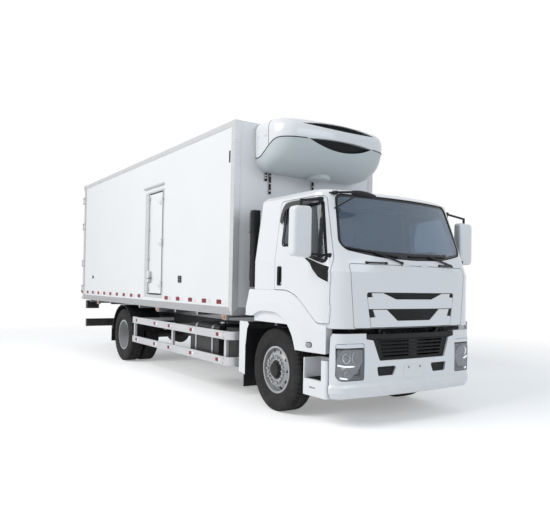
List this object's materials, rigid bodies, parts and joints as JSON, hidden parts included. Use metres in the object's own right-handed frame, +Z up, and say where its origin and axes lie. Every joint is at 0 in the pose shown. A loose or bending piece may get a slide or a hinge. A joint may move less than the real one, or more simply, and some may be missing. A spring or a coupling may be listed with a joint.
{
  "type": "refrigerated truck",
  "caption": "Two-axle cab-over truck with a white insulated box, side and rear doors, a nose-mounted refrigeration unit, tilting cab and steered front wheels",
  "frame": {"origin": "on the ground under the middle of the truck's length and width", "axes": "+X forward, +Y to the truck's left, +Z up"},
  "size_m": [9.6, 3.059, 3.88],
  "materials": {
    "white_paint": "gloss",
    "white_panel": "satin",
    "grey_shell": "satin",
    "frame_black": "satin",
    "black_plastic": "matte",
    "alloy": "brushed",
    "steel": "brushed",
    "wheel_silver": "satin",
    "tyre": "matte",
    "rubber": "matte",
    "iron": "rough",
    "glass": "polished",
    "lamp": "gloss",
    "interior_grey": "matte",
    "seat_cloth": "woven"
  },
  "bodies": {
    "chassis": {"chassis_frame": "frame_black", "front_axle": "iron", "rear_axle": "iron", "leaf_springs": "iron", "powertrain": "iron", "fuel_tank": "alloy", "silencer": "steel", "battery_box": "black_plastic", "air_tanks": "frame_black", "side_guards": "alloy", "front_mudguards": "white_paint", "rear_mudguards": "black_plastic", "rear_bumper": "frame_black", "front_bumper": "white_paint", "lower_grille": "black_plastic", "headlamps": "lamp", "cab_steps": "white_paint", "air_intake": "black_plastic", "box_floor": "steel", "box_wall_right": "white_panel", "box_wall_left": "white_panel", "box_front_wall": "white_panel", "box_roof": "white_panel", "rear_portal": "steel", "box_trim": "alloy", "side_door_frame": "alloy", "unit_cover": "white_paint", "unit_belly": "grey_shell", "unit_grilles": "black_plastic", "unit_pipes": "rubber"},
    "cab": {"cab_shell": "white_paint", "windshield": "glass", "wheel_arches": "white_paint", "cab_interior": "interior_grey", "cab_seats": "seat_cloth", "steering_wheel": "black_plastic", "wipers": "black_plastic", "front_mirror": "black_plastic"},
    "front_lid": {"front_lid": "white_paint", "lid_grille": "black_plastic", "grille_bars": "white_paint"},
    "cab_door_right": {"cab_door_right": "white_paint", "door_glass_right": "glass", "mirror_right": "white_paint"},
    "cab_door_left": {"cab_door_left": "white_paint", "door_glass_left": "glass", "mirror_left": "white_paint"},
    "side_door": {"side_door": "white_panel"},
    "rear_door_right": {"rear_door_right": "white_panel"},
    "rear_door_left": {"rear_door_left": "white_panel"},
    "knuckle_right": {"knuckle_right": "iron"},
    "knuckle_left": {"knuckle_left": "iron"},
    "front_wheel_right": {"front_wheel_right": "wheel_silver", "front_tyre_right": "tyre"},
    "front_wheel_left": {"front_wheel_left": "wheel_silver", "front_tyre_left": "tyre"},
    "rear_wheels_right": {"rear_wheels_right": "wheel_silver", "rear_tyres_right": "tyre"},
    "rear_wheels_left": {"rear_wheels_left": "wheel_silver", "rear_tyres_left": "tyre"}
  },
  "joints": [
    {"name": "cab_tilt", "type": "hinge", "parent": "chassis", "child": "cab", "pos_m": [4.695, 0, 1.03], "axis": [0, 1, 0], "range_deg": [0, 45]},
    {"name": "cab_door_right", "type": "hinge", "parent": "cab", "child": "cab_door_right", "pos_m": [4.593, -1.1575, 1.51], "axis": [0, 0, 1], "range_deg": [0, 65]},
    {"name": "cab_door_left", "type": "hinge", "parent": "cab", "child": "cab_door_left", "pos_m": [4.593, 1.1575, 1.51], "axis": [0, 0, -1], "range_deg": [0, 65]},
    {"name": "front_lid", "type": "hinge", "parent": "cab", "child": "front_lid", "pos_m": [4.774, 0, 1.853], "axis": [0, -1, 0], "range_deg": [0, 65]},
    {"name": "side_door", "type": "hinge", "parent": "chassis", "child": "side_door", "pos_m": [0.1465, -1.312, 2.285], "axis": [0, 0, 1], "range_deg": [0, 160]},
    {"name": "rear_door_right", "type": "hinge", "parent": "chassis", "child": "rear_door_right", "pos_m": [-4.755, -1.29, 2.5], "axis": [0, 0, 1], "range_deg": [0, 250]},
    {"name": "rear_door_left", "type": "hinge", "parent": "chassis", "child": "rear_door_left", "pos_m": [-4.755, 1.29, 2.5], "axis": [0, 0, -1], "range_deg": [0, 250]},
    {"name": "steer_left", "type": "hinge", "parent": "chassis", "child": "knuckle_left", "pos_m": [3.51, 0.845, 0.522], "axis": [0, 0, 1], "range_deg": [-35, 35]},
    {"name": "steer_right", "type": "hinge", "parent": "chassis", "child": "knuckle_right", "pos_m": [3.51, -0.845, 0.522], "axis": [0, 0, 1], "range_deg": [-35, 35]},
    {"name": "front_wheel_left", "type": "hinge", "parent": "knuckle_left", "child": "front_wheel_left", "pos_m": [3.51, 1.02, 0.522], "axis": [0, 1, 0], "continuous": true},
    {"name": "rear_wheels_left", "type": "hinge", "parent": "chassis", "child": "rear_wheels_left", "pos_m": [-1.96, 0.93, 0.522], "axis": [0, 1, 0], "continuous": true},
    {"name": "front_wheel_right", "type": "hinge", "parent": "knuckle_right", "child": "front_wheel_right", "pos_m": [3.51, -1.02, 0.522], "axis": [0, 1, 0], "continuous": true},
    {"name": "rear_wheels_right", "type": "hinge", "parent": "chassis", "child": "rear_wheels_right", "pos_m": [-1.96, -0.93, 0.522], "axis": [0, 1, 0], "continuous": true}
  ],
  "couplings": [
    {"joint": "steer_right", "follows": "steer_left", "ratio": 1}
  ]
}
